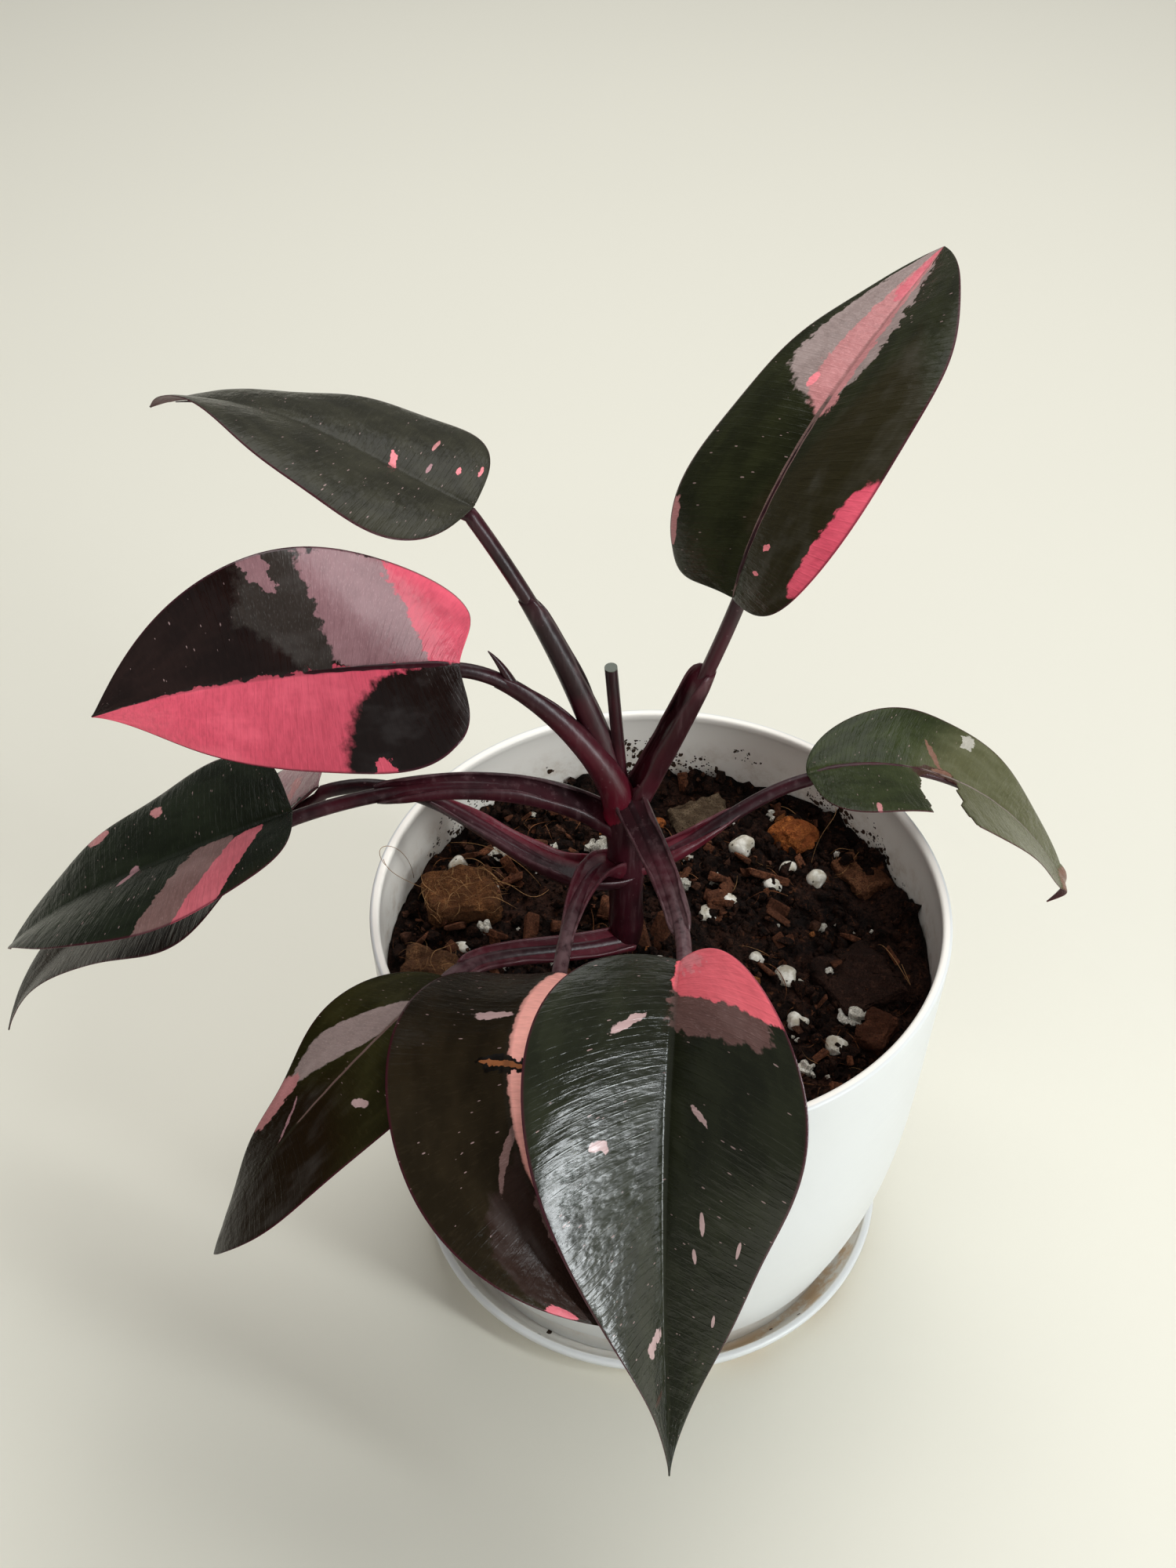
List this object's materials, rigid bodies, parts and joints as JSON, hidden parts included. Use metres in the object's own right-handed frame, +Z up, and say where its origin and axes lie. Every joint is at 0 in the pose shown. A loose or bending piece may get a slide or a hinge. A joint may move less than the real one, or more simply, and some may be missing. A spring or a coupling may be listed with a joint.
{
  "type": "potted pink princess philodendron",
  "caption": "Variegated heart-leaved house plant with dark green and pink leaves on winged purple petioles, in a round white plastic pot on a shallow saucer.",
  "frame": {"origin": "centre of the saucer's flat underside, on the pot's axis", "axes": "+Z up along the pot's axis; -Y towards the side that the picture shows as the front; +X to the right seen from the front"},
  "size_m": [0.2931, 0.2087, 0.278],
  "materials": {
    "saucer_plastic": "satin moulded plastic",
    "pot_plastic": "satin moulded plastic",
    "potting_soil": "dark damp loose fibres and crumbs",
    "petiole_purple": "smooth glossy plant skin",
    "leaf_green": "waxy, near black green with pink patches",
    "leaf_pink": "waxy, half pink and half dark green",
    "perlite": "rough porous white grains",
    "bark": "rough bark and husk",
    "clay": "rough unglazed fired clay"
  },
  "bodies": {
    "root": {"saucer": "saucer_plastic", "pot": "pot_plastic", "soil": "potting_soil", "stem_and_petioles": "petiole_purple", "leaf_front_large": "leaf_green", "leaf_front_middle": "leaf_green", "leaf_front_left": "leaf_green", "leaf_left_upper": "leaf_green", "leaf_left_lower": "leaf_green", "leaf_half_pink": "leaf_pink", "leaf_upper_left": "leaf_green", "leaf_upper_right": "leaf_green", "leaf_right_torn": "leaf_green", "perlite_01": "perlite", "perlite_02": "perlite", "perlite_03": "perlite", "perlite_04": "perlite", "perlite_05": "perlite", "perlite_06": "perlite", "perlite_07": "perlite", "perlite_08": "perlite", "perlite_09": "perlite", "perlite_10": "perlite", "perlite_11": "perlite", "perlite_12": "perlite", "perlite_13": "perlite", "perlite_14": "perlite", "bark_block": "bark", "bark_block_small": "bark", "bark_beige": "bark", "bark_husk": "bark", "bark_flat": "bark", "bark_low": "bark", "clay_lump": "clay", "clay_lump_small": "clay"}
  },
  "joints": []
}
